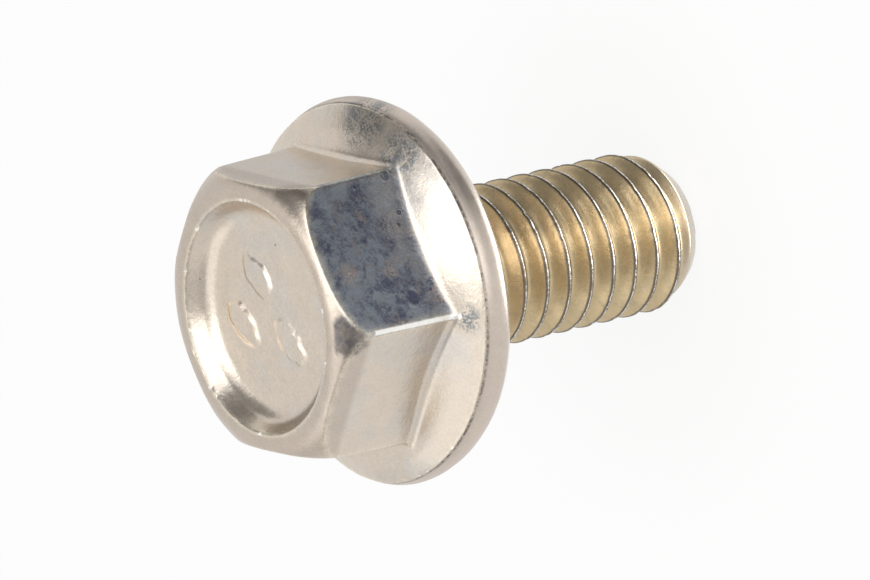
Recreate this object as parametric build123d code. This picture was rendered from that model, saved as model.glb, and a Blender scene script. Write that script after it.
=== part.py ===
from build123d import *
import os
from math import cos, hypot, radians, tan

# Hexagon flange bolt, M6 x 12, cold formed in one piece, with its thread rolled up to a short neck.
# Millimetres. The origin is the centre of the bearing face under the flange; the head stands
# towards +Z and the shank points down.

# Head
head_height = 6.4           # bearing face to the lip of the recess
across_flats = 9.9          # at the foot of the hexagon
hex_draft = 2.0             # degrees that each flat leans in towards the top
hex_corner_radius = 0.35
hex_foot_bevel = 0.25       # between the hexagon and the flange

# Shoulder, the rounded edge that takes the corners off the top
shoulder_radius = 2.5
shoulder_drop = 1.35        # how far under the lip it ends
shoulder_margin = 0.08      # how far outside the corners it ends

# Recess in the top
recess_radius = 4.15
recess_depth = 0.8
recess_wall_lean = 34.0     # degrees from upright
recess_foot_bevel = 0.4     # between wall and floor
lip_width = 0.06            # narrow level ring round the recess

# Flange
flange_radius = 6.95
flange_widest_height = 0.85
rim_bulge = 0.17            # how far the rim stands outside the sharp edge of the sloping top
flange_edge_height = 1.38
flange_slope = 24.5         # degrees
flange_step = 0.07          # the rim starts this far under the sharp edge
bearing_inset = 0.6         # from the rim to the outer edge of the flat bearing face

# Shank
shank_length = 11.65
neck_step = 0.27            # how far the neck lies under the crests of the thread
neck_length = 2.0
neck_foot = 0.25            # cone under the flange
point_step = 0.067          # how far the flat end lies inside the core
point_angle = 45.0          # degrees that the point leans in

# Thread, right-hand
thread_radius = 2.95        # over the crests
thread_pitch = 1.0
thread_depth = 0.6134 * thread_pitch
crest_width = thread_pitch / 8
flank_angle = 30.0          # degrees from square to the axis
runout_angle = 40.0         # degrees that the last turn leans into the neck
spare_turns = 2             # swept past the ends of the thread, then trimmed

flange_edge_radius = flange_radius - rim_bulge
bearing_radius = flange_radius - bearing_inset
shoulder_reach = across_flats / 2 / cos(radians(30)) + shoulder_margin
shoulder_height = head_height - shoulder_drop
core_radius = thread_radius - thread_depth
root_overlap = thread_pitch / 12    # how far the ridge is rooted inside the core
neck_radius = thread_radius - neck_step
point_radius = core_radius - point_step
rod_top = flange_edge_height        # the core of the thread reaches up inside the head
edge_match = 0.01           # an edge this near to the sloping top lies on it


def turned_form(*corners):
    """A polygon of (radius, height) corners turned about the bolt's axis."""
    with BuildPart() as part:
        with BuildSketch(Plane.XZ):
            Polygon(*corners, align=None)
        revolve(axis=Axis.Z)
    return part.part


def flange():
    """Disc with a bevelled bearing face, a rounded rim and a sloping top that ends in a sharp edge."""
    slope_peak = flange_edge_height + flange_edge_radius * tan(radians(flange_slope))
    widest = (flange_radius, flange_widest_height)
    rim_top = (flange_edge_radius, flange_edge_height - flange_step)
    rim_foot = (flange_edge_radius, 2 * flange_widest_height - rim_top[1])
    with BuildPart() as part:
        with BuildSketch(Plane.XZ):
            with BuildLine():
                Line((0, 0), (bearing_radius, 0))
                Line((bearing_radius, 0), rim_foot)
                ThreePointArc(rim_foot, widest, rim_top)
                Line(rim_top, (flange_edge_radius, flange_edge_height))
                Line((flange_edge_radius, flange_edge_height), (0, slope_peak))
                Line((0, slope_peak), (0, 0))
            make_face()
        revolve(axis=Axis.Z)
    return part.part


def shoulder():
    """Round form that trims the top of the hexagon: a level lip, then a convex shoulder."""
    lip_edge = (recess_radius + lip_width, head_height)
    outside = (shoulder_reach, shoulder_height)
    with BuildPart() as part:
        with BuildSketch(Plane.XZ):
            with BuildLine():
                Line((0, head_height), lip_edge)
                RadiusArc(lip_edge, outside, shoulder_radius)
                Line(outside, (shoulder_reach, 0))
                Line((shoulder_reach, 0), (0, 0))
                Line((0, 0), (0, head_height))
            make_face()
        revolve(axis=Axis.Z)
    return part.part


def hexagon():
    """Drafted hexagon with rounded corners, two of them on the X axis."""
    with BuildPart() as part:
        with BuildSketch(Plane.XY.offset(flange_edge_height)):
            RegularPolygon(across_flats / 2, 6, major_radius=False)
        extrude(amount=head_height - flange_edge_height, taper=hex_draft)
        corners = part.edges().filter_by(lambda edge: (edge @ 0).Z != (edge @ 1).Z)
        fillet(corners, hex_corner_radius)
    return part.part & shoulder()


def recess():
    """Round pocket with a leaning wall and a bevel at the foot of the wall."""
    floor_height = head_height - recess_depth
    floor_radius = recess_radius - recess_depth * tan(radians(recess_wall_lean))
    clear_height = head_height + recess_depth
    with BuildPart() as part:
        with BuildSketch(Plane.XZ) as profile:
            Polygon(
                (0, floor_height),
                (floor_radius, floor_height),
                (recess_radius, head_height),
                (recess_radius, clear_height),
                (0, clear_height),
                align=None,
            )
            foot = profile.vertices().sort_by_distance((floor_radius, 0, floor_height))[0]
            chamfer(foot, recess_foot_bevel)
        revolve(axis=Axis.Z)
    return part.part


def head():
    body = flange() + hexagon()
    rise = tan(radians(flange_slope))

    def meets_flange(edge):
        middle = edge @ 0.5
        reach = hypot(middle.X, middle.Y)
        slope_height = flange_edge_height + (flange_edge_radius - reach) * rise
        return abs(middle.Z - slope_height) < edge_match and reach < flange_edge_radius - hex_foot_bevel

    foot = body.edges().filter_by(meets_flange)
    return chamfer(foot, hex_foot_bevel) - recess()


def neck():
    """Neck between the flange and the thread, with a cone at each end."""
    inner_radius = core_radius - thread_depth / 2
    taper_end = -neck_length - (neck_radius - inner_radius) / tan(radians(runout_angle))
    return turned_form(
        (0, 0),
        (neck_radius + neck_foot, 0),
        (neck_radius, -neck_foot),
        (neck_radius, -neck_length),
        (inner_radius, taper_end),
        (0, taper_end),
    )


def threaded_rod():
    """Core with one helical ridge round it, longer at both ends than the finished thread."""
    inner_radius = core_radius - root_overlap
    half_crest = crest_width / 2
    half_root = half_crest + (thread_radius - inner_radius) * tan(radians(flank_angle))
    turns = int(shank_length / thread_pitch) + spare_turns
    start = -turns * thread_pitch
    below = start - thread_pitch
    core = turned_form((0, below), (core_radius, below), (core_radius, rod_top), (0, rod_top))
    helix = Edge.make_helix(thread_pitch, -start, core_radius, center=(0, 0, start))
    with BuildSketch(Plane(origin=(0, 0, start), x_dir=(1, 0, 0), z_dir=(0, -1, 0))) as section:
        Polygon(
            (inner_radius, -half_root),
            (thread_radius, -half_crest),
            (thread_radius, half_crest),
            (inner_radius, half_root),
            align=None,
        )
    return core + Solid.sweep(section.sketch.face(), Wire([helix]), is_frenet=True)


def point_trim():
    """Everything below the point and outside its bevel."""
    clear_radius = thread_radius + thread_depth
    bevel_top = (clear_radius - point_radius) * tan(radians(point_angle)) - shank_length
    below = -shank_length - (spare_turns + 2) * thread_pitch
    return turned_form(
        (0, -shank_length),
        (point_radius, -shank_length),
        (clear_radius, bevel_top),
        (clear_radius, below),
        (0, below),
    )


def runout_trim():
    """Ring that leans the last turn of the thread into the neck."""
    outer_radius = thread_radius + thread_depth
    inner_radius = core_radius - thread_depth / 2
    lean = tan(radians(runout_angle))
    full_size_height = -neck_length - (thread_radius - core_radius) / lean
    ring_foot = full_size_height - (outer_radius - thread_radius) / lean
    ring_shoulder = full_size_height + (thread_radius - inner_radius) / lean
    return turned_form(
        (outer_radius, ring_foot),
        (inner_radius, ring_shoulder),
        (inner_radius, head_height),
        (outer_radius, head_height),
    )


def shank():
    return neck() + (threaded_rod() - point_trim() - runout_trim())


bolt = head() + shank()

os.makedirs("parts", exist_ok=True)
export_step(bolt, "parts/flange_bolt.step")
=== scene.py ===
import random
from math import atan2, cos, exp, hypot, pi, radians, sin, sqrt, tan

import bmesh
import bpy
from mathutils import Matrix, Vector, noise


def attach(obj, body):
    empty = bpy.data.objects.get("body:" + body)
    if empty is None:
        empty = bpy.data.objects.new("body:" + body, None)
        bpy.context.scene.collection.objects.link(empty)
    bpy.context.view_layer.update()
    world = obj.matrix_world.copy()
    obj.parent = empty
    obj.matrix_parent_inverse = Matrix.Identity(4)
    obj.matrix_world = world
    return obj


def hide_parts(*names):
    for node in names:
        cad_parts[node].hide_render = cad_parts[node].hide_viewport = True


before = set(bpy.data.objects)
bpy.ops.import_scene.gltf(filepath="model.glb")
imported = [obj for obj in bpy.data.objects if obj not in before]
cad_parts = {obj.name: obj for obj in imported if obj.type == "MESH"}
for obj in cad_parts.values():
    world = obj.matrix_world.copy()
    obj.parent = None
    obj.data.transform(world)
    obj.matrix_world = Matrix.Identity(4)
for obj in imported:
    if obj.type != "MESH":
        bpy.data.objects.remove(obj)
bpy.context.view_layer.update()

mm = 0.001   # shapes are worked out in millimetres and scaled to metres at the end

# One turn is cut into this many steps, on the head and on the thread alike, so that they weld.
stepsPerTurn = 240

headSizes = {
    "floorHeight": 5.6,        # recess floor over the bearing face
    "recessRadius": 4.15,
    "recessFootRadius": 3.61,
    "recessFootSoftness": 0.7,
    "lipHeight": 6.4,
    "lipWidth": 0.06,
    "shoulderStart": 4.3,      # level from the lip out to here, then a convex shoulder
    "shoulderRadius": 1.25,
    "shoulderEdgeSoftness": 0.12,
    "acrossFlats": 9.9,
    "draft": 2.0,
    "cornerRadius": 0.2,
    "footSoftness": 0.28,
    "slope": 24.5,
    "edgeRadius": 6.78,
    "edgeHeight": 1.38,
    "rimRadius": 6.95,
    "rimHeight": 0.85,
    "valleyDepth": 0.09,
    "bearingRadius": 6.35,
    "neckRadius": 2.68,
    "neckFoot": 0.25,
    "flangeLift": 0.26,        # the flange stands this much higher, except round one side
    "lowAzimuth": -105.0,
    "lowSpread": 75.0,
    "sideLift": 0.2,           # and a little more here
    "sideAzimuth": 170.0,
    "sideSpread": 35.0,
    "swell": 0.025,            # share that the hexagon stands further out towards one corner
    "swellAzimuth": 12.0,
    "swellSpread": 50.0,
    "brightCorner": -120.0,    # the corner whose edge gets a painted white highlight line
    "lipSoftness": 0.03,
    "rimRoundness": 2.2,       # higher is flatter round the middle and rounder at both ends
    "seatSoftness": 0.2,
    "neckSoftness": 0.12,
    "lipNick": 0.05,           # depth of the deepest nick
    "edgeNick": 0.03,
    "cornerCrowding": 0.6,     # how much closer the steps stand at the corners of the hexagon
}

threadSizes = {
    "radius": 2.95,
    "pitch": 1.0,
    "depth": 0.613,
    "crestHalf": 0.0625,
    "crestCrown": 0.012,       # how far the sides of a crest lie under its middle
    "flank": 30.0,
    "neckEnd": -2.0,
    "runout": 40.0,
    "weldHeight": -1.0,        # ring on the neck where the thread's mesh meets the head's
    "end": -11.65,
    "endRadius": 2.27,
    "endFaceRun": 1.3,         # how much of the strip is spent on the flat end
    "rootSoftness": 0.5,
    "pointLean": 0.7,          # rise of the point's bevel along the axis, outwards
    "rowsPerTurn": 16,
    "nickCount": 150,
    "nickSeed": 21,
    "nickDepth": 0.05,
}


def smooth(low, high, value):
    # 0 at low, 1 at high; low may be the larger
    share = min(1.0, max(0.0, (value - low) / (high - low)))
    return share * share * (3 - 2 * share)


def mix(a, b, share):
    return a + (b - a) * share


def bell(value, width):
    return exp(-(value / width) ** 2)


def turnApart(a, b):
    # signed difference of two angles, from -pi to pi
    return (a - b + pi) % (2 * pi) - pi


# Head: hexagon, shoulder, recess, flange and neck

def halfAcross(height):
    s = headSizes
    return s["acrossFlats"] / 2 - (height - s["edgeHeight"]) * tan(radians(s["draft"]))


def hexReach(azimuth, height):
    # distance from the axis to the drafted hexagon with rounded corners, two corners on the X axis
    apothem = halfAcross(height)
    corner = headSizes["cornerRadius"]
    offset = abs(turnApart(azimuth, round(azimuth / (pi / 3)) * (pi / 3)))
    centre = (apothem - corner) / cos(pi / 6)
    tangent = atan2(corner * sin(pi / 6), centre + corner * cos(pi / 6))
    if offset < tangent:
        return centre * cos(offset) + sqrt(max(0.0, corner ** 2 - (centre * sin(offset)) ** 2))
    return apothem / cos(pi / 6 - offset)


def shoulderTop(reach):
    s = headSizes
    out = max(0.0, reach - s["shoulderStart"])
    return s["lipHeight"] - s["shoulderRadius"] + sqrt(max(0.0, s["shoulderRadius"] ** 2 - out ** 2))


def slopeTop(reach):
    s = headSizes
    return s["edgeHeight"] + (s["edgeRadius"] - reach) * tan(radians(s["slope"]))


def meeting(azimuth, surface, guess):
    # height at which the hexagon meets a turned surface
    height = guess
    for _ in range(16):
        height = mix(height, surface(hexReach(azimuth, height)), 0.7)
    return hexReach(azimuth, height), height


def bend(before, corner, after, trim, count):
    # rounded corner between two straight stretches, as points of a quadratic curve
    def step(start, end):
        length = hypot(end[0] - start[0], end[1] - start[1])
        share = min(0.49, trim / max(length, 1e-6))
        return mix(start[0], end[0], share), mix(start[1], end[1], share)
    a, b = step(corner, before), step(corner, after)
    points = []
    for i in range(count):
        t = i / (count - 1)
        points.append(tuple(
            (1 - t) ** 2 * a[k] + 2 * t * (1 - t) * corner[k] + t * t * b[k] for k in (0, 1)
        ))
    return points


def stretch(start, end, count):
    # points between two places, without the places themselves
    points = []
    for i in range(1, count + 1):
        t = i / (count + 1)
        points.append((mix(start[0], end[0], t), mix(start[1], end[1], t)))
    return points


def headSections(azimuth):
    # the section of the head at one azimuth, from the middle of the recess to the weld ring;
    # every azimuth has as many points, so that ring number k runs all round the head
    s = headSizes
    lip = (s["recessRadius"], s["lipHeight"])
    lipOut = (s["recessRadius"] + s["lipWidth"], s["lipHeight"])
    foot = (s["recessFootRadius"], s["floorHeight"])
    top = meeting(azimuth, shoulderTop, 5.8)
    base = meeting(azimuth, slopeTop, 2.1)
    middle = (0.0, s["floorHeight"])
    footBend = bend(middle, foot, lip, s["recessFootSoftness"], 9)
    lipBend = bend(foot, lip, lipOut, s["lipSoftness"], 3)
    crownStart = (lipOut[0] + 0.2, shoulderTop(lipOut[0] + 0.2))
    outBend = bend(lip, lipOut, crownStart, s["lipSoftness"], 3)
    shoulderEnd = top[0] - s["shoulderEdgeSoftness"]
    crown = []
    for i in range(1, 12):
        reach = mix(outBend[-1][0], shoulderEnd, i / 11)
        crown.append((reach, shoulderTop(reach)))
    fall = (hexReach(azimuth, top[1] - 1.0), top[1] - 1.0)
    edgeBend = bend(crown[-1], top, fall, s["shoulderEdgeSoftness"], 6)
    # the bend starts where the crown ends
    edgeBend[0] = crown[-1]
    baseBend = bend(fall, base, (s["edgeRadius"], s["edgeHeight"]), s["footSoftness"], 8)
    edge = (s["edgeRadius"], s["edgeHeight"])
    slopeEnd = (edge[0] - 0.03, slopeTop(edge[0] - 0.03))
    valley = (edge[0] + 0.02, edge[1] - s["valleyDepth"])
    # rim: a flat arc round the widest height
    rise = valley[1] - s["rimHeight"]
    rim = []
    for i in range(1, 14):
        t = 1 - 2 * i / 14
        inset = (s["rimRadius"] - valley[0]) * abs(t) ** s["rimRoundness"]
        rim.append((s["rimRadius"] - inset, s["rimHeight"] + rise * t))
    low = (valley[0], s["rimHeight"] - rise)
    seat = (s["bearingRadius"], 0.0)
    seatBend = bend(low, seat, (s["neckRadius"], 0.0), s["seatSoftness"], 5)
    neckTop = (s["neckRadius"] + s["neckFoot"], 0.0)
    neckSide = (s["neckRadius"], -s["neckFoot"])
    neckBend = bend(seat, neckTop, neckSide, s["neckSoftness"], 3)
    bearing = [low] + stretch(low, seatBend[0], 3) + seatBend + stretch(seatBend[-1], neckBend[0], 6)
    weld = (s["neckRadius"], threadSizes["weldHeight"])
    sideBend = bend(neckTop, neckSide, weld, s["neckSoftness"], 3)
    return [
        ("floor", [middle] + stretch(middle, footBend[0], 32)),
        ("floorBend", footBend),
        ("wall", stretch(footBend[-1], lipBend[0], 4)),
        ("lip", lipBend + outBend),
        ("crown", crown),
        ("shoulderEdge", edgeBend[1:]),
        ("flat", stretch(edgeBend[-1], baseBend[0], 16)),
        ("foot", baseBend),
        ("slope", stretch(baseBend[-1], slopeEnd, 13)),
        ("flangeEdge", [slopeEnd, (edge[0], edge[1] - 0.005)]),
        ("seam", [(edge[0] + 0.012, edge[1] - 0.035), valley]),
        ("rim", rim),
        ("seat", bearing),
        ("neck", neckBend + sideBend + stretch(sideBend[-1], weld, 2) + [weld]),
    ]


def headProfile(azimuth):
    return [point for name, points in headSections(azimuth) for point in points]


ringNames = [name for name, points in headSections(0.0) for point in points]


def crowding(height, reach):
    # steps crowd towards the corners on the hexagon, and stand evenly everywhere else
    s = headSizes
    outer = 1 - smooth(5.9, 6.7, reach)
    inner = smooth(s["recessRadius"] - 0.1, 4.9, reach)
    return s["cornerCrowding"] * outer * inner * smooth(1.2, 1.7, height)


def crowd(azimuth, amount):
    sector = pi / 3
    middle = (round(azimuth / sector - 0.5) + 0.5) * sector
    x = (azimuth - middle) / (sector / 2)
    return middle + sector / 2 * (x + amount * sin(pi * x) / pi)


# Raised marks on the recess floor: three plain oval pads, side by side
padSizes = {
    "places": ((1.42, -0.03), (0.40, 1.78), (-1.24, -0.43)),
    "turn": 22.0,
    "halfLength": 1.2,
    "halfWidth": 0.66,
    "height": 0.085,
    "edge": 0.42,          # share of the half width that the worn side takes
    "dish": 0.35,          # how far the middle is sunk again
    "ragged": 0.14,        # how uneven the outline is
    "rough": 0.35,         # how uneven the height is
}


def padRise(x, y):
    p = padSizes
    rise = 0.0
    turn = radians(p["turn"])
    for cx, cy in p["places"]:
        along = (x - cx) * cos(turn) + (y - cy) * sin(turn)
        across = -(x - cx) * sin(turn) + (y - cy) * cos(turn)
        far = hypot(along / p["halfLength"], across / p["halfWidth"])
        far += p["ragged"] * uneven(x, y, 3.0, 2.4)
        top = 1 - smooth(1 - p["edge"], 1.0, far)
        rise = max(rise, top * (1 - p["dish"] * (1 - smooth(0.0, 0.7, far))))
    return p["height"] * rise * (1 + p["rough"] * uneven(x, y, 7.0, 2.6))


def nicks(seed, count, spread):
    chance = random.Random(seed)
    return [(chance.uniform(0, 2 * pi), chance.uniform(0.3, 1.0), chance.uniform(0.5, 1.5) * spread)
            for _ in range(count)]


lipNicks = nicks(4, 46, 0.018)
edgeNicks = nicks(9, 60, 0.012)


def nickDepth(found, azimuth):
    depth = 0.0
    for place, strength, width in found:
        gap = abs(turnApart(azimuth, place))
        if gap < 3 * width:
            depth = max(depth, strength * bell(gap, width))
    return depth


def uneven(x, y, z, scale):
    return noise.noise(Vector((x, y, z)) * scale)


def buildHead(bm, rows):
    # a straight row of points is spun round the axis, then each point moves to its place on the section
    ring = bm.verts.layers.int["ring"]
    wearAndHighlight = bm.verts.layers.float["wearAndHighlight"]
    seam = bm.verts.layers.float["seam"]
    start = []
    for number in range(rows):
        vert = bm.verts.new((1 + number * 0.01, 0, 0))
        vert[ring] = number
        start.append(vert)
    edges = [bm.edges.new(pair) for pair in zip(start, start[1:])]
    bmesh.ops.spin(bm, geom=start + edges, cent=(0, 0, 0), axis=(0, 0, 1), dvec=(0, 0, 0),
                   angle=2 * pi, steps=stepsPerTurn, use_merge=True)
    s = headSizes
    plain = headProfile(pi / 6)
    amounts = [round(crowding(height, reach), 2) for reach, height in plain]
    known = {}
    for vert in bm.verts:
        step = round(atan2(vert.co.y, vert.co.x) / (2 * pi / stepsPerTurn)) % stepsPerTurn
        number = vert[ring]
        azimuth = crowd(step * 2 * pi / stepsPerTurn, amounts[number])
        # the hexagon repeats, so a section is worked out once for its distance from a corner
        offset = abs(turnApart(azimuth, round(azimuth / (pi / 3)) * (pi / 3)))
        key = (round(offset, 6), amounts[number])
        if key not in known:
            known[key] = headProfile(offset)
        reach, height = known[key][number]
        name = ringNames[number]
        if name == "lip":
            # nicks in the lip raise the wear mark, which turns them white: partly bare metal, partly painted
            # glint
            cut = nickDepth(lipNicks, azimuth)
            height -= s["lipNick"] * cut
            vert[wearAndHighlight] = 0.35 + 0.65 * cut
            # a painted shade line round the inner edge of the lip
            vert[seam] = 0.8 if reach < s["recessRadius"] + 0.01 else 0.1
        elif name == "flangeEdge":
            # nicks in the flange edge raise the wear mark, which turns them white: partly bare metal, partly
            # painted glint
            cut = nickDepth(edgeNicks, azimuth)
            height -= s["edgeNick"] * cut
            vert[wearAndHighlight] = 0.4 + 0.6 * cut
        elif name == "shoulderEdge":
            vert[wearAndHighlight] = 0.45
        elif name in ("flat", "foot"):
            # towards brightCorner the wear mark rises to 1, which paints a white highlight line along that
            # corner's edge
            bright = 1 - smooth(0.2, 0.4, abs(turnApart(azimuth, radians(s["brightCorner"]))))
            vert[wearAndHighlight] = mix(0.5, 1.0, bright) * bell(offset, mix(0.022, 0.028, bright))
        elif name == "seam":
            # painted shade along the crease under the flange's sharp edge
            vert[seam] = 0.9
        lift = smooth(4.9, 6.3, reach) * smooth(0.1, 0.6, height) * smooth(3.5, 2.2, height)
        gap = turnApart(azimuth, radians(s["lowAzimuth"]))
        height += s["flangeLift"] * lift * (1 - bell(gap, radians(s["lowSpread"])))
        gap = turnApart(azimuth, radians(s["sideAzimuth"]))
        height += s["sideLift"] * lift * bell(gap, radians(s["sideSpread"]))
        side = smooth(4.3, 4.9, reach) * smooth(1.6, 2.2, height) * smooth(6.2, 5.9, reach)
        gap = turnApart(azimuth, radians(s["swellAzimuth"]))
        reach *= 1 + s["swell"] * side * bell(gap, radians(s["swellSpread"]))
        x, y = reach * cos(azimuth), reach * sin(azimuth)
        if reach < s["recessFootRadius"] and height < s["floorHeight"] + 0.1 and height > 3:
            height += padRise(x, y) + 0.012 * uneven(x, y, 0, 0.9)
        if height > -0.1 and reach > 4:
            wave = 0.014 * uneven(x, y, height, 0.55) + 0.005 * uneven(x, y, height, 2.2)
            grow = 1 + wave * smooth(4.3, 4.8, reach) / max(reach, 1)
            x, y = x * grow, y * grow
        vert.co = (x, y, height)


# Thread, point and lower neck: one helical strip

def findCrestNicks():
    # (height, azimuth, strength, width) of each nick
    chance = random.Random(threadSizes["nickSeed"])
    return [(chance.uniform(-11.4, -2.4), chance.uniform(0, 2 * pi), chance.uniform(0.15, 0.7),
             chance.uniform(0.02, 0.06)) for _ in range(threadSizes["nickCount"])]


crestNicks = findCrestNicks()


def threadReach(share):
    # share of the pitch from the middle of a crest, -0.5 to 0.5
    t = threadSizes
    gap = abs(share) * t["pitch"]
    root = t["radius"] - t["depth"]
    fall = (gap - t["crestHalf"]) / tan(radians(t["flank"]))
    reach = t["radius"] - max(0.0, fall)
    if gap < t["crestHalf"]:
        reach = t["radius"] - t["crestCrown"] * (gap / t["crestHalf"]) ** 4
    # the flank runs into a well rounded root
    soft = t["rootSoftness"]
    near = max(0.0, soft - abs(reach - root)) / soft
    return max(reach, root) + near * near * soft / 4


def shankPlace(azimuth, along):
    # (reach, height, wear and highlight mark) of a point of the strip, where along is its raw height
    t = threadSizes
    crest = along - azimuth / (2 * pi) * t["pitch"]
    share = crest - round(crest)
    lean = tan(radians(t["runout"]))
    if along < t["end"]:
        left = (t["end"] - along) / t["endFaceRun"]
        return max(0.0, t["endRadius"] * (1 - left)), t["end"], 0.0
    reach = threadReach(share)
    for place, where, strength, width in crestNicks:
        if abs(place - along) < 0.6:
            gap = abs(turnApart(azimuth, where))
            if gap < 3 * width and abs(share) < 0.16:
                reach -= t["nickDepth"] * strength * bell(gap, width) * bell(share, 0.09)
    wearAndHighlight = bell(share, 0.07)
    pointReach = t["endRadius"] + (along - t["end"]) * t["pointLean"]
    neckReach = headSizes["neckRadius"]
    root = t["radius"] - t["depth"]
    if reach > pointReach:
        reach, wearAndHighlight = pointReach, wearAndHighlight * 0.3
    lowered = root + (t["neckEnd"] - along) * lean
    reach = min(reach, max(lowered, root))
    neckFall = neckReach - max(0.0, t["neckEnd"] - along) * lean
    if neckFall > reach:
        reach, wearAndHighlight = neckFall, 0.0
    if along > t["weldHeight"]:
        return neckReach, t["weldHeight"], 0.0
    return reach, along, wearAndHighlight


def buildShank(bm):
    # one tall row of points is spun a full turn while it climbs one pitch, and the seam is welded
    t = threadSizes
    wearAndHighlight = bm.verts.layers.float["wearAndHighlight"]
    crestLayer = bm.verts.layers.float["crest"]
    rowHeight = t["pitch"] / t["rowsPerTurn"]
    bottom = t["end"] - t["endFaceRun"] - 1.5 * t["pitch"]
    rows = int((t["weldHeight"] - bottom) / rowHeight) + 1
    start = [bm.verts.new((3, 0, bottom + number * rowHeight)) for number in range(rows + 1)]
    edges = [bm.edges.new(pair) for pair in zip(start, start[1:])]
    bmesh.ops.spin(bm, geom=start + edges, cent=(0, 0, 0), axis=(0, 0, 1),
                   dvec=(0, 0, t["pitch"] / stepsPerTurn), angle=2 * pi, steps=stepsPerTurn)
    bmesh.ops.remove_doubles(bm, verts=bm.verts, dist=0.01)
    for vert in bm.verts:
        step = round(atan2(vert.co.y, vert.co.x) / (2 * pi / stepsPerTurn)) % stepsPerTurn
        azimuth = step * 2 * pi / stepsPerTurn
        reach, height, worn = shankPlace(azimuth, vert.co.z)
        vert[wearAndHighlight] = worn
        vert[crestLayer] = worn
        vert.co = (reach * cos(azimuth), reach * sin(azimuth), height)


def newMesh():
    bm = bmesh.new()
    bm.verts.layers.int.new("ring")
    bm.verts.layers.float.new("wearAndHighlight")
    bm.verts.layers.float.new("crest")
    bm.verts.layers.float.new("seam")
    return bm


def buildBolt():
    head, shank = newMesh(), newMesh()
    buildHead(head, len(headProfile(0.0)))
    print("head", len(head.verts), "points", flush=True)
    buildShank(shank)
    print("shank", len(shank.verts), "points", flush=True)
    mesh = bpy.data.meshes.new("hex_flange_bolt")
    head.to_mesh(mesh)
    shank.from_mesh(mesh)
    head.free()
    bm = shank
    bmesh.ops.remove_doubles(bm, verts=bm.verts, dist=0.0005)
    bmesh.ops.dissolve_degenerate(bm, edges=bm.edges, dist=0.0001)
    bmesh.ops.recalc_face_normals(bm, faces=bm.faces)
    loose = sum(1 for e in bm.edges if len(e.link_faces) != 2)
    triangles = sum(len(f.verts) - 2 for f in bm.faces)
    print("bolt", len(bm.faces), "faces", triangles, "triangles", loose, "open edges", flush=True)
    bmesh.ops.scale(bm, vec=(mm, mm, mm), verts=bm.verts)
    for face in bm.faces:
        face.smooth = True
    bm.to_mesh(mesh)
    bm.free()
    bolt = bpy.data.objects.new("hex_flange_bolt", mesh)
    bpy.context.scene.collection.objects.link(bolt)
    return bolt


bolt = buildBolt()
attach(bolt, "root")
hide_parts("flange_bolt")

# Camera at the photograph's angle, rolled so that the bolt's axis lies across the picture
cameraSizes = {
    "aim": (-0.281, 0.649, -1.817),
    "distance": 244.79,
    "azimuth": -104.938,
    "elevation": 35.300,
    "roll": 102.854,
    "lens": 284.645,
}


def direction(azimuth, elevation):
    az, el = radians(azimuth), radians(elevation)
    return Vector((cos(el) * cos(az), cos(el) * sin(az), sin(el)))


def buildCamera():
    c = cameraSizes
    outward = direction(c["azimuth"], c["elevation"])
    data = bpy.data.cameras.new("camera")
    data.lens = c["lens"]
    data.sensor_width = 36
    data.clip_start, data.clip_end = 0.01, 10
    camera = bpy.data.objects.new("camera", data)
    bpy.context.scene.collection.objects.link(camera)
    level = (-outward).to_track_quat("-Z", "Y")
    camera.rotation_mode = "QUATERNION"
    camera.rotation_quaternion = level @ Matrix.Rotation(radians(-c["roll"]), 3, "Z").to_quaternion()
    camera.location = (Vector(c["aim"]) + outward * c["distance"]) * mm
    bpy.context.scene.camera = camera


buildCamera()

# Shader maths

class Shade:
    # a socket of a material; operators on it add Math nodes
    def __init__(self, tree, socket=None):
        self.tree, self.socket = tree, socket

    def node(self, kind, settings, values, out=0):
        made = self.tree.nodes.new(kind)
        for name, value in settings.items():
            setattr(made, name, value)
        for name, value in values.items():
            if isinstance(value, Shade):
                self.tree.links.new(value.socket, made.inputs[name])
            else:
                made.inputs[name].default_value = value
        return Shade(self.tree, made.outputs[out])

    def maths(self, operation, *values):
        return self.node("ShaderNodeMath", {"operation": operation}, dict(enumerate(values)))

    def __add__(self, other):
        return self.maths("ADD", self, other)

    def __sub__(self, other):
        return self.maths("SUBTRACT", self, other)

    def __rsub__(self, other):
        return self.maths("SUBTRACT", other, self)

    def __mul__(self, other):
        return self.maths("MULTIPLY", self, other)

    def __neg__(self):
        return self.maths("MULTIPLY", self, -1.0)

    def __pow__(self, other):
        return self.maths("POWER", self, other)

    __radd__ = __add__
    __rmul__ = __mul__

    def root(self):
        return self.maths("SQRT", self)

    def upTo(self, most):
        return self.maths("MINIMUM", self, most)

    def atLeast(self, least):
        return self.maths("MAXIMUM", self, least)

    def rise(self, low, high):
        # 0 at low, 1 at high, with a soft start and end; low may be the larger
        return self.node("ShaderNodeMapRange", {"interpolation_type": "SMOOTHSTEP"},
                         {"Value": self, "From Min": low, "From Max": high, "To Min": 0.0, "To Max": 1.0})

    def tint(self, mask, other):
        # this colour, going over to another one where the mask is 1
        return self.node("ShaderNodeMix", {"data_type": "RGBA"}, {0: mask, 6: self, 7: other}, 2)

    def colour(self, rgb):
        return self.node("ShaderNodeMix", {"data_type": "RGBA"}, {0: 0.0, 6: (*rgb, 1.0), 7: (*rgb, 1.0)}, 2)

    def cloud(self, place, scale, detail=4.0, rough=0.6, warp=0.0):
        return self.node("ShaderNodeTexNoise", {"noise_dimensions": "3D"},
                         {"Vector": place, "Scale": scale, "Detail": detail, "Roughness": rough,
                          "Distortion": warp})

    def attribute(self, name):
        return self.node("ShaderNodeAttribute", {"attribute_name": name}, {}, "Fac")


def newMaterial(name):
    material = bpy.data.materials.new(name)
    material.use_nodes = True
    material.node_tree.nodes.clear()
    return material, Shade(material.node_tree)


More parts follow.
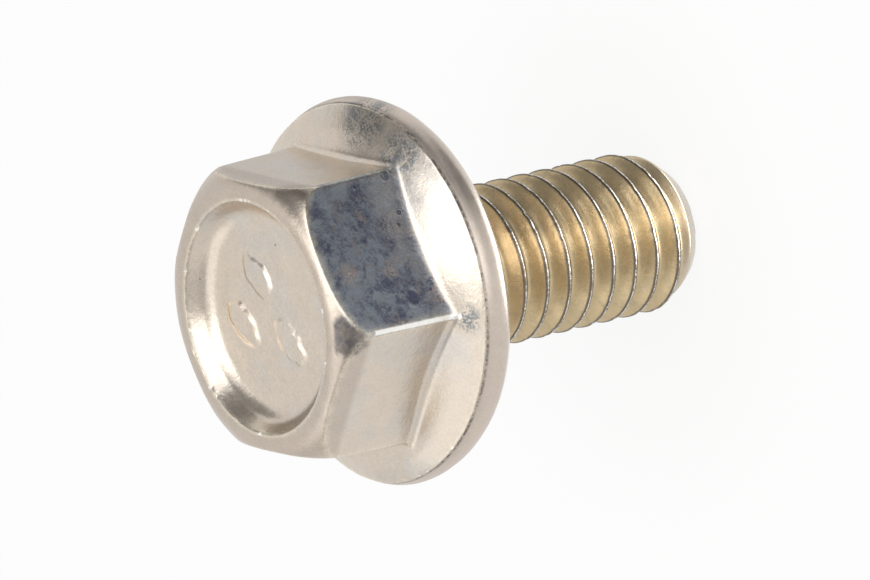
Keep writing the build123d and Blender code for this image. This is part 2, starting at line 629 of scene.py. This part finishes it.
def showSurface(shader):
    output = shader.tree.nodes.new("ShaderNodeOutputMaterial")
    shader.tree.links.new(shader.socket, output.inputs["Surface"])


def strongest(shades):
    found = shades[0]
    for shade in shades[1:]:
        found = found.atLeast(shade)
    return found


# Stage: sizes and places in millimetres
stageLight = {
    "roomStrength": 0.62,      # what the room gives to matt surfaces
    "roomGloss": 0.93,         # and what shows of it in the metal
    "floorSize": 3000.0,
    "floorWhite": 0.88,        # how much of the floor shows as plain white, the rest keeps the shadow
    "topLamp": 0.35,           # watts
    "lampSize": 200.0,
    "lampDistance": 300.0,
    "lampAzimuth": -100.0,
    "lampElevation": 78.0,
    "cardDistance": 170.0,
    "standingCards": (
        # name, azimuth from and to, elevation from and to, brightness
        ("stripGlow", -113.0, -88.0, 8.0, 60.0, 2.3),
        ("leftFlag", -187.0, -122.0, 32.0, 66.0, 0.62),
        ("sideFlag", -40.0, 40.0, 27.0, 60.0, 0.3),
        ("rightFlag", -76.0, 6.0, 2.0, 30.0, 0.24),
        ("warmSide", 100.0, 160.0, 34.0, 80.0, 1.3),
        ("lowSide", 98.0, 175.0, 0.0, 27.0, 0.85),
    ),
    "flatCards": (
        # name, x from and to, y from and to, height, brightness
        ("topGlow", -7.0, 80.0, -95.0, 93.0, 200.0, 2.8),
        ("rimFlag", 3.0, 28.0, -37.0, -12.0, -11.6, 0.2),
        ("frontFlag", -6.0, 11.0, -43.0, -22.5, -11.5, 0.74),
        ("footGlow", -5.0, 3.5, -11.0, -3.1, -11.6, 4.5),
        ("farFlag", 9.0, 150.0, -150.0, -37.0, -11.6, 0.14),
        ("backFlag", 10.0, 40.0, 5.0, 40.0, -11.6, 0.72),
    ),
    # small card close to the head, which shows in the wall of the recess
    "bowlGlow": {"centre": (5.4, -13.4, 20.5), "aim": (0.0, 4.0, 6.0), "width": 22.0, "height": 13.0,
                 "brightness": 2.4},
}


def rays(shade, *names):
    # 1 for what any of these kinds of ray sees
    path = shade.tree.nodes.new("ShaderNodeLightPath")
    return strongest([Shade(shade.tree, path.outputs[name]) for name in names])


def stagePlane(name, width, height, centre, facing, material):
    bm = bmesh.new()
    bmesh.ops.create_grid(bm, x_segments=1, y_segments=1, size=0.5)
    bmesh.ops.scale(bm, vec=(width, height, 1), verts=bm.verts)
    bmesh.ops.rotate(bm, verts=bm.verts, matrix=facing.to_track_quat("Z", "Y").to_matrix())
    bmesh.ops.translate(bm, vec=centre, verts=bm.verts)
    mesh = bpy.data.meshes.new(name)
    bm.to_mesh(mesh)
    bm.free()
    mesh.materials.append(material)
    plane = bpy.data.objects.new(name, mesh)
    bpy.context.scene.collection.objects.link(plane)
    return plane


def buildFloor():
    material, shade = newMaterial("paleFloor")
    matt = shade.node("ShaderNodeBsdfDiffuse", {}, {"Color": (0.9, 0.9, 0.9, 1)})
    white = shade.node("ShaderNodeEmission", {}, {"Color": (1, 1, 1, 1), "Strength": 1.0})
    share = rays(shade, "Is Camera Ray", "Is Glossy Ray", "Is Transmission Ray") * stageLight["floorWhite"]
    showSurface(shade.node("ShaderNodeMixShader", {}, {0: share, 1: matt, 2: white}))
    size = stageLight["floorSize"] * mm
    centre = Vector((0, 0, threadSizes["end"] * mm))   # the bolt stands on it
    stagePlane("floor", size, size, centre, Vector((0, 0, 1)), material)


def buildCard(name, width, height, centre, facing, brightness):
    # a card that only shows in the metal, as a photographer's soft box or flag does
    material, shade = newMaterial(name)
    showSurface(shade.node("ShaderNodeEmission", {}, {"Color": (1, 1, 1, 1), "Strength": brightness}))
    card = stagePlane(name, width * mm, height * mm, centre * mm, facing, material)
    card.visible_camera = False
    card.visible_diffuse = False
    card.visible_shadow = False
    card.visible_transmission = False


def buildCards():
    distance = stageLight["cardDistance"]
    for name, azFrom, azTo, elFrom, elTo, brightness in stageLight["standingCards"]:
        elevation = (elFrom + elTo) / 2
        outward = direction((azFrom + azTo) / 2, elevation)
        width = 2 * distance * tan(radians(azTo - azFrom) / 2) * cos(radians(elevation))
        height = 2 * distance * tan(radians(elTo - elFrom) / 2)
        buildCard(name, width, height, outward * distance, -outward, brightness)
    for name, xFrom, xTo, yFrom, yTo, height, brightness in stageLight["flatCards"]:
        centre = Vector(((xFrom + xTo) / 2, (yFrom + yTo) / 2, height))
        buildCard(name, xTo - xFrom, yTo - yFrom, centre, Vector((0, 0, 1)), brightness)
    near = stageLight["bowlGlow"]
    centre = Vector(near["centre"])
    facing = Vector(near["aim"]) - centre
    buildCard("bowlGlow", near["width"], near["height"], centre, facing, near["brightness"])


def buildTopLamp():
    data = bpy.data.lights.new("topLamp", "AREA")
    data.shape = "SQUARE"
    data.size = stageLight["lampSize"] * mm
    data.energy = stageLight["topLamp"]
    lamp = bpy.data.objects.new("topLamp", data)
    bpy.context.scene.collection.objects.link(lamp)
    outward = direction(stageLight["lampAzimuth"], stageLight["lampElevation"])
    lamp.location = outward * stageLight["lampDistance"] * mm
    lamp.rotation_mode = "QUATERNION"
    lamp.rotation_quaternion = outward.to_track_quat("Z", "Y")
    lamp.visible_glossy = False


def buildRoom():
    world = bpy.data.worlds.new("room")
    bpy.context.scene.world = world
    world.use_nodes = True
    shade = Shade(world.node_tree)
    room, gloss = stageLight["roomStrength"], stageLight["roomGloss"]
    strength = rays(shade, "Is Camera Ray", "Is Transmission Ray") * (1 - room)
    strength = room + strength + rays(shade, "Is Glossy Ray") * (gloss - room)
    background = world.node_tree.nodes["Background"]
    background.inputs["Color"].default_value = (1, 1, 1, 1)
    world.node_tree.links.new(strength.socket, background.inputs["Strength"])


buildFloor()
buildCards()
buildTopLamp()
buildRoom()
print("stage done", flush=True)

# Zinc plating, silver on the head and yellow on the thread, with a blue stained flat; some colours below are
# painted shade, reflection and highlight
platingColours = {
    "warm": (0.655, 0.575, 0.485),
    "cool": (0.60, 0.565, 0.525),
    "pink": (0.60, 0.52, 0.455),
    "gold": (0.62, 0.485, 0.29),
    "olive": (0.46, 0.375, 0.235),
    "crest": (0.74, 0.72, 0.69),
    # dirt darkens the specks and also paints shade lines in the crease and along the lip
    "dirtAndShade": (0.07, 0.06, 0.055),
    # navy and slate: the blue stain, painted darker to stand in for a dark reflection
    "navyStainAndShade": (0.062, 0.073, 0.13),
    "slate": (0.27, 0.30, 0.34),
    "brown": (0.27, 0.235, 0.225),
    "haze": (0.42, 0.42, 0.43),
    # shoulder darkening, and a painted dark reflection beside the lower corner of the blue flat
    "shoulderDark": (0.20, 0.175, 0.155),
    "paintedReflectionDark": (0.095, 0.095, 0.11),
    "crown": (0.52, 0.445, 0.375),
    "flake": (0.15, 0.18, 0.20),
    "bronze": (0.44, 0.38, 0.34),
    # bright: white of the painted highlight line on one corner and of the nicks
    "bright": (0.95, 0.93, 0.89),
    "edge": (0.86, 0.78, 0.60),
}

# Places on the bolt and sizes, in millimetres
stainsAndShade = {
    # dark specks: place, size, strength
    "specks": (
        ((1.95, -1.70, 5.60), 0.050, 1.0),
        ((2.60, 2.84, 5.96), 0.045, 0.9),
        ((2.14, 2.83, 5.60), 0.035, 0.8),
        ((6.55, -0.97, 1.45), 0.060, 0.9),
        ((-5.06, -1.21, 2.10), 0.055, 1.0),
        ((-5.49, -0.34, 2.11), 0.050, 0.8),
        ((-1.32, -4.92, 2.20), 0.080, 0.8),
        ((-0.12, -4.97, 2.20), 0.070, 0.9),
    ),
    # bronze spots on the blue flat: place, size
    "bronze": (
        ((-0.74, -4.87, 3.72), 0.45),
        ((0.85, -4.90, 2.90), 0.75),
        ((-1.90, -4.95, 2.15), 0.65),
        ((-0.80, -4.95, 2.10), 0.45),
        ((-0.50, -4.83, 5.35), 0.60),
    ),
    # blisters on the blue flat: place, size
    "blisters": (
        ((-1.83, -4.89, 3.22), 0.30),
        ((1.25, -4.91, 2.46), 0.12),
        ((0.83, -4.91, 2.65), 0.10),
        ((2.66, -4.91, 2.44), 0.20),
    ),
    # grey flaky patches on the flange: place, how far each reaches, how far it is full
    "flakes": (
        ((4.95, -3.9, 1.65), 1.5, 0.5),
        ((3.2, -5.2, 1.7), 1.3, 0.5),
        ((-3.15, -5.3, 1.65), 0.75, 0.2),
    ),
    "upperShoulder": (2.75, -4.3, 6.1),
    # centre of the painted dark reflection on the shoulder
    "lowerShoulder": (-2.5, -4.35, 6.05),
    "paleBlue": (2.0, -4.9, 2.5),
}


def apart(place, centre):
    # distance in millimetres from one point
    return place.node("ShaderNodeVectorMath", {"operation": "DISTANCE"}, {0: place, 1: centre}, "Value")


def buildPlating():
    material, shade = newMaterial("zincPlatingAndPaintedLight")
    tone = {name: shade.colour(rgb) for name, rgb in platingColours.items()}
    inObject = shade.node("ShaderNodeTexCoord", {}, {}, "Object")
    place = shade.node("ShaderNodeVectorMath", {"operation": "SCALE"}, {0: inObject, "Scale": 1 / mm})
    split = shade.tree.nodes.new("ShaderNodeSeparateXYZ")
    shade.tree.links.new(place.socket, split.inputs[0])
    x, y, z = (Shade(shade.tree, split.outputs[k]) for k in range(3))
    reach = (x * x + y * y).root()
    s = headSizes

    # plain plating: warm and cool clouds, a pinkish rim, fine grain
    broad = shade.cloud(place, 0.42, 3.0, 0.55, 0.4)
    patchy = shade.cloud(place, 1.7, 5.0, 0.65, 0.3)
    grain = shade.cloud(place, 11.0, 3.0, 0.6)
    fine = shade.cloud(place, 26.0, 2.0, 0.5)
    blotchy = shade.cloud(place, 2.9, 5.0, 0.75, 0.2)
    colour = tone["warm"].tint(broad.rise(0.47, 0.70) * 0.8, tone["cool"])
    rim = reach.rise(s["edgeRadius"] - 0.02, s["edgeRadius"] + 0.03) * z.rise(-0.3, -0.1)
    colour = colour.tint(rim * 0.8, tone["pink"])
    crown = z.rise(5.15, 5.5) * reach.rise(4.16, 4.32)
    colour = colour.tint(crown * 0.8, tone["crown"])
    evenness = (patchy - 0.5) * 0.22 + (grain - 0.5) * 0.26 + (fine - 0.5) * 0.16 + 1.0
    rough = 0.235 + (patchy - 0.5) * 0.14 + (grain - 0.5) * 0.08 + rim * 0.14 + crown * 0.05

    # grey flaky patches on the flange
    flakes = (patchy * 0.5 + grain * 0.5).rise(0.44, 0.56)
    flange = z.rise(2.6, 2.2) * reach.rise(5.2, 5.6)
    patches = strongest([apart(place, centre).rise(end, full) for centre, end, full in stainsAndShade["flakes"]])
    colour = colour.tint(patches * flakes * flange * 0.85, tone["flake"])

    # darker patches on the shoulder beside the two corners of the blue flat; the one by the lower corner is
    # a painted dark reflection
    waver = (patchy - 0.5) * 0.6
    upper = (apart(place, stainsAndShade["upperShoulder"]) + waver).rise(1.05, 0.4) * z.rise(6.39, 6.2)
    colour = colour.tint(upper * (0.25 + patchy * 0.6).upTo(1.0), tone["shoulderDark"])
    # painted dark reflection beside the lower corner of the blue flat
    paintedReflectionMask = (apart(place, stainsAndShade["lowerShoulder"]) + waver).rise(0.88, 0.62) * z.rise(6.37, 6.31)
    paintedReflectionTone = tone["shoulderDark"].tint(blotchy.rise(0.4, 0.6), tone["paintedReflectionDark"])
    colour = colour.tint(paintedReflectionMask * (0.45 + patchy * 0.8).upTo(1.0), paintedReflectionTone)

    # the blue flat towards -Y: partly real blue stain, partly painted dark reflection, as its navy is darker
    # than the stain alone
    slopeGap = z - (s["edgeHeight"] + (s["edgeRadius"] - reach) * tan(radians(s["slope"])))
    flatGap = -y - (s["acrossFlats"] / 2 - (z - s["edgeHeight"]) * tan(radians(s["draft"])))
    bow = (s["shoulderRadius"] ** 2 - (reach - s["shoulderStart"]) ** 2).atLeast(0.0).root()
    topGap = s["lipHeight"] - s["shoulderRadius"] + bow - z
    ragged = (patchy - 0.5) * 0.3
    blue = (flatGap + ragged * 0.1).rise(-0.15, -0.07) * (slopeGap + ragged * 0.4).rise(0.0, 0.14)
    blue = blue * (topGap + ragged * 0.3).rise(0.0, 0.07) * reach.rise(5.95, 5.8)
    mottle = shade.cloud(place, 0.95, 6.0, 0.72, 0.5)
    second = shade.cloud(place, 1.25, 6.0, 0.70, 0.8)
    mottle = mottle + (blotchy - 0.5) * 0.7 + (grain - 0.5) * 0.5
    blueStainAndShade = tone["slate"].tint(mottle.rise(0.41, 0.64), tone["navyStainAndShade"])
    blueStainAndShade = blueStainAndShade.tint((second + (blotchy - 0.5) * 0.4).rise(0.54, 0.68) * 0.85, tone["brown"])
    footward = (z - x * 0.35).rise(4.2, 2.0)
    blueStainAndShade = blueStainAndShade.tint(((blotchy + grain) * 0.5).rise(0.45, 0.59) * (0.25 + footward * 0.6), tone["haze"])
    pale = apart(place, stainsAndShade["paleBlue"]).rise(1.3, 0.3)
    blueStainAndShade = blueStainAndShade.tint(pale * (0.2 + blotchy * 0.7), tone["haze"])
    bronze = 0.0
    for centre, size in stainsAndShade["bronze"]:
        bronze = (apart(place, centre) + (blotchy - 0.5) * size).rise(size, size * 0.35) + bronze
    blueStainAndShade = blueStainAndShade.tint(bronze.upTo(1.0) * (grain * 0.6 + blotchy * 0.4).rise(0.44, 0.58) * 0.8, tone["bronze"])
    ring = 0.0
    dent = 0.0
    for centre, size in stainsAndShade["blisters"]:
        far = apart(place, centre) + (blotchy - 0.5) * size * 0.9
        ring = far.rise(size * 0.7, size * 0.95) * far.rise(size * 1.35, size) + ring
        dent = far.rise(size * 1.1, size * 0.6) + dent
    blueStainAndShade = blueStainAndShade.tint(dent.upTo(1.0) * 0.6 * blotchy.rise(0.3, 0.5), tone["navyStainAndShade"])
    blueStainAndShade = blueStainAndShade.tint(ring.upTo(1.0) * 0.22 * grain.rise(0.4, 0.6), tone["haze"])
    colour = colour.tint(blue, blueStainAndShade)
    rough = rough + blue * (blotchy * 0.25)

    # yellow passivation on the thread, thin on the crests
    shank = z.rise(-0.05, -0.4) * reach.rise(3.4, 3.1)
    yellow = tone["gold"].tint((patchy * 0.6 + grain * 0.4).rise(0.44, 0.60) * 0.8, tone["olive"])
    crest = shade.attribute("crest")
    colour = colour.tint(shank, yellow)
    # dark lines along both edges of each crest
    colour = colour.tint(shank * crest.rise(0.15, 0.45) * (0.5 + grain * 0.6), tone["dirtAndShade"])
    # silver crests where the yellow is thin, broken into patches by noise: partly bare zinc, partly painted
    # glint
    glint = crest.rise(0.62, 0.86) * (0.15 + (patchy * 0.4 + grain * 0.6).rise(0.44, 0.56) * 0.85)
    colour = colour.tint(shank * glint, tone["crest"])
    colour = colour.tint(z.rise(-10.6, -11.5) * 0.6, tone["crest"])

    # golden fringe along worn edges; painted shade as dark lines in the flange's crease and round the lip;
    # white nicks, partly bare metal and partly painted glint; a painted white highlight line on one corner;
    # dark specks
    wearAndHighlight = shade.attribute("wearAndHighlight")
    seam = shade.attribute("seam")
    broken = (patchy * 0.5 + grain * 0.5).rise(0.42, 0.58)
    # painted shade: dark lines in the flange's crease and round the lip's inner edge
    colour = colour.tint(seam * (0.15 + broken * 0.75), tone["dirtAndShade"])
    colour = colour.tint(wearAndHighlight * (1 - shank) * (0.25 + broken * 0.5), tone["edge"])
    # white where the wear mark is high: a painted highlight line on the corner at brightCorner, and nicks
    # that are partly bare metal and partly painted glint
    colour = colour.tint(wearAndHighlight.rise(0.6, 0.85) * (1 - shank), tone["bright"])
    specks = 0.0
    for centre, size, strength in stainsAndShade["specks"]:
        specks = (apart(place, centre) + (fine - 0.5) * 0.05).rise(size, size * 0.4) * strength + specks
    colour = colour.tint(specks.upTo(1.0) * 0.85, tone["dirtAndShade"])
    colour = colour.node("ShaderNodeVectorMath", {"operation": "SCALE"}, {0: colour, "Scale": evenness})
    rough = (rough + shank * (1 - crest) * 0.06 + seam * 0.2 + specks * 0.3).atLeast(0.12).upTo(0.8)

    relief = (grain - 0.5) * 0.0034 + (patchy - 0.5) * 0.013 + (fine - 0.5) * 0.0016
    relief = relief + blue * ((blotchy - 0.5) * 0.02 + ring * 0.006 - dent * 0.010)
    bump = shade.node("ShaderNodeBump", {}, {"Strength": 1.0, "Distance": mm, "Height": relief})
    showSurface(shade.node("ShaderNodeBsdfPrincipled", {}, {
        "Metallic": 1.0, "Base Color": colour, "Roughness": rough, "Normal": bump,
    }))
    return material


bolt.data.materials.append(buildPlating())
print("plating done", flush=True)

bpy.context.scene.view_settings.view_transform = "Standard"
